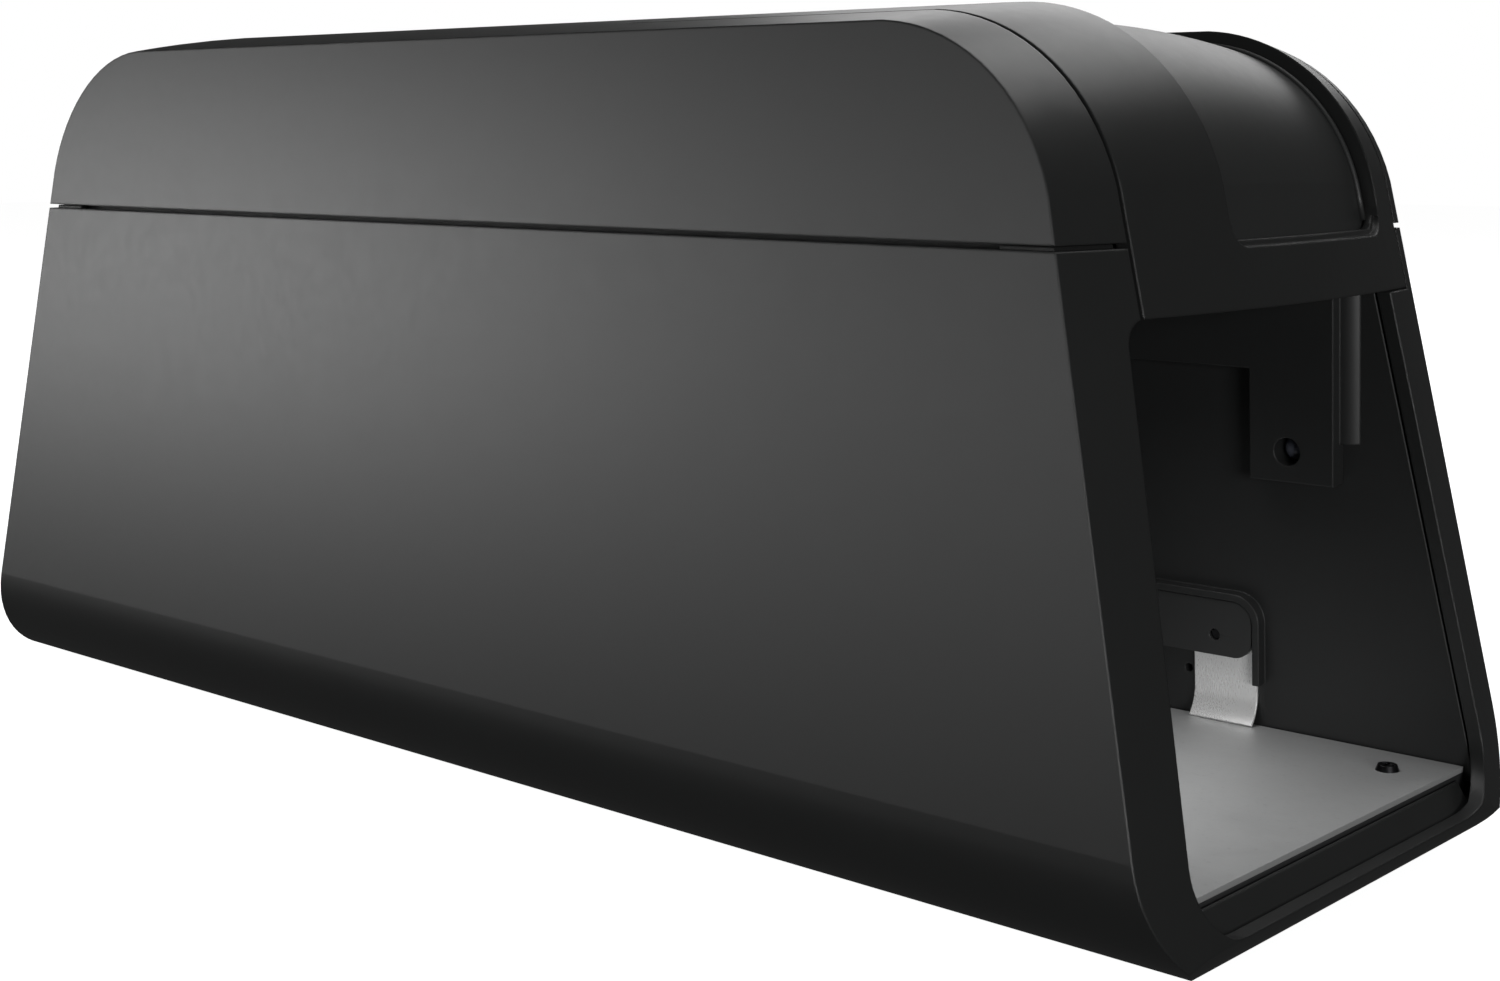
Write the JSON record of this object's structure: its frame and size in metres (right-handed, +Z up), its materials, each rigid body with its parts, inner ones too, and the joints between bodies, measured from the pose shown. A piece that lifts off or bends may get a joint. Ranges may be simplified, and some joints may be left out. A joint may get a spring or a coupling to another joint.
{
  "type": "electronic rodent trap",
  "caption": "Battery-powered tunnel trap: crowned case open at the front, metal floor plates, wall contacts, sensor arms, capped control panel and a rear-hinged top cover.",
  "frame": {"origin": "under the middle of the case, on the surface it stands on", "axes": "+X out of the entrance along the length, +Y across to the side with the wall contacts, +Z up"},
  "size_m": [0.3055, 0.1137, 0.1372],
  "materials": {
    "case_plastic": "matte black, fine moulded grain",
    "panel_plastic": "satin black",
    "button_plastic": "satin dark grey",
    "clear_plastic": "clear, frosted",
    "led_green": "tinted clear",
    "board": "green solder mask",
    "dark_plastic": "matte black",
    "ferrite": "dark sintered",
    "winding": "enamelled wire under yellow tape",
    "capacitor_sleeve": "blue shrink sleeve",
    "chip_plastic": "moulded black",
    "heat_sink": "extruded",
    "inner_plastic": "matte black",
    "liner_plastic": "matte black",
    "plate_steel": "dull rolled sheet",
    "spring_steel": "bright",
    "steel": "ground",
    "black_screw": "blackened",
    "emitter_lens": "smoky clear",
    "receiver_lens": "dark filter",
    "cell": "plain wrapped can",
    "foot_rubber": "matte",
    "lead_red": "insulation",
    "lead_white": "insulation"
  },
  "bodies": {
    "case": {"base_shell": "case_plastic", "hinge_pin": "steel", "front_cap": "case_plastic", "control_panel": "panel_plastic", "led_lens": "clear_plastic", "status_led": "led_green", "circuit_board": "board", "tact_switch": "dark_plastic", "transformer_core": "ferrite", "transformer_coil": "winding", "storage_capacitor": "capacitor_sleeve", "controller_chip": "chip_plastic", "power_transistor": "chip_plastic", "heat_sink": "heat_sink", "electronics_deck": "inner_plastic", "near_liner": "liner_plastic", "far_liner": "liner_plastic", "back_liner": "liner_plastic", "floor_tray": "inner_plastic", "front_plate": "plate_steel", "rear_plate": "plate_steel", "plate_screws": "black_screw", "front_contact": "spring_steel", "rear_contact": "spring_steel", "front_contact_cover": "dark_plastic", "rear_contact_cover": "dark_plastic", "contact_screws": "black_screw", "near_sensor_arm": "liner_plastic", "far_sensor_arm": "liner_plastic", "ir_emitter": "emitter_lens", "ir_receiver": "receiver_lens", "battery_tray": "inner_plastic", "battery_1": "cell", "battery_2": "cell", "battery_3": "cell", "battery_4": "cell", "battery_springs": "spring_steel", "battery_contacts": "spring_steel", "deck_screws": "black_screw", "cap_screws": "black_screw", "tray_screws": "black_screw", "rubber_feet": "foot_rubber", "battery_leads": "lead_red", "plate_leads": "lead_red", "sensor_leads": "lead_white"},
    "cover": {"top_cover": "case_plastic"},
    "button": {"power_button": "button_plastic"}
  },
  "joints": [
    {"name": "cover_hinge", "type": "hinge", "parent": "case", "child": "cover", "pos_m": [-0.13171, 0, 0.1016], "axis": [0, -1, 0], "range_deg": [0, 100]},
    {"name": "button_press", "type": "slide", "parent": "case", "child": "button", "axis": [0, 0, -1], "range_m": [0, 0.001], "stiffness_N_per_m": 400, "springref_m": -0.0005}
  ]
}
